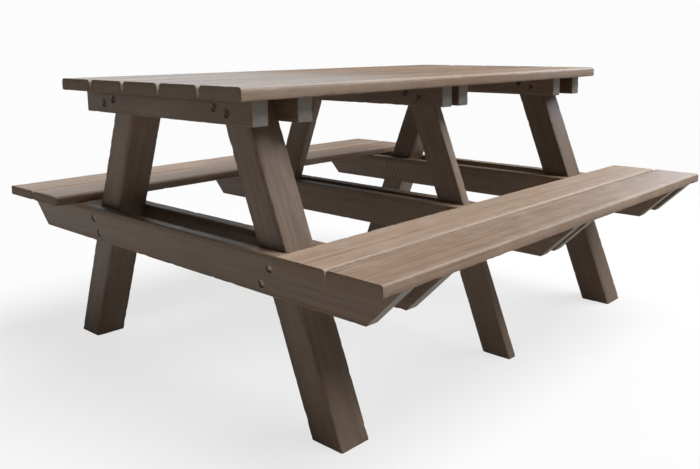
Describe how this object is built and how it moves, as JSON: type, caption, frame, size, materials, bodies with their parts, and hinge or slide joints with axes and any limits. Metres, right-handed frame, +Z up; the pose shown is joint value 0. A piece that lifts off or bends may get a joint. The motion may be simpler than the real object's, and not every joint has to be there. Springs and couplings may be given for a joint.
{
  "type": "picnic table",
  "caption": "A-frame picnic table with a slatted top and two attached two-board benches on three bolted trestles.",
  "frame": {"origin": "on the ground under the middle of the tabletop", "axes": "+X along the table's length, -Y towards the front bench, +Z up"},
  "size_m": [1.52, 1.45, 0.75],
  "materials": {
    "tabletop_lumber": "weathered brown composite lumber, fine lengthwise streaks",
    "bench_lumber": "weathered brown composite lumber, fine lengthwise streaks",
    "frame_lumber": "dark brown composite lumber with paler sawn ends",
    "bolt_steel": "dull zinc plate",
    "zinc_steel": "dull zinc plate",
    "screw_steel": "dull zinc plate"
  },
  "bodies": {
    "root": {"bench_board_screws": "screw_steel", "bench_short_screws": "screw_steel", "end_frame_seat_bolts": "bolt_steel", "end_frame_top_bolts": "bolt_steel", "front_bench_board_inner": "bench_lumber", "front_bench_board_outer": "bench_lumber", "left_front_leg": "frame_lumber", "left_rear_leg": "frame_lumber", "left_seat_beam_inner": "frame_lumber", "left_seat_beam_outer": "frame_lumber", "left_top_joist_inner": "frame_lumber", "left_top_joist_outer": "frame_lumber", "middle_frame_seat_bolts": "bolt_steel", "middle_frame_top_bolts": "bolt_steel", "middle_front_leg": "frame_lumber", "middle_rear_leg": "frame_lumber", "middle_seat_beam_left": "frame_lumber", "middle_seat_beam_right": "frame_lumber", "middle_top_joist_left": "frame_lumber", "middle_top_joist_right": "frame_lumber", "rear_bench_board_inner": "bench_lumber", "rear_bench_board_outer": "bench_lumber", "right_front_leg": "frame_lumber", "right_rear_leg": "frame_lumber", "right_seat_beam_inner": "frame_lumber", "right_seat_beam_outer": "frame_lumber", "right_top_joist_inner": "frame_lumber", "right_top_joist_outer": "frame_lumber", "seat_nuts": "zinc_steel", "seat_washers": "zinc_steel", "top_board_1": "tabletop_lumber", "top_board_2": "tabletop_lumber", "top_board_3": "tabletop_lumber", "top_board_4": "tabletop_lumber", "top_board_5": "tabletop_lumber", "top_board_screws": "screw_steel", "top_nuts": "zinc_steel", "top_washers": "zinc_steel"}
  },
  "joints": []
}
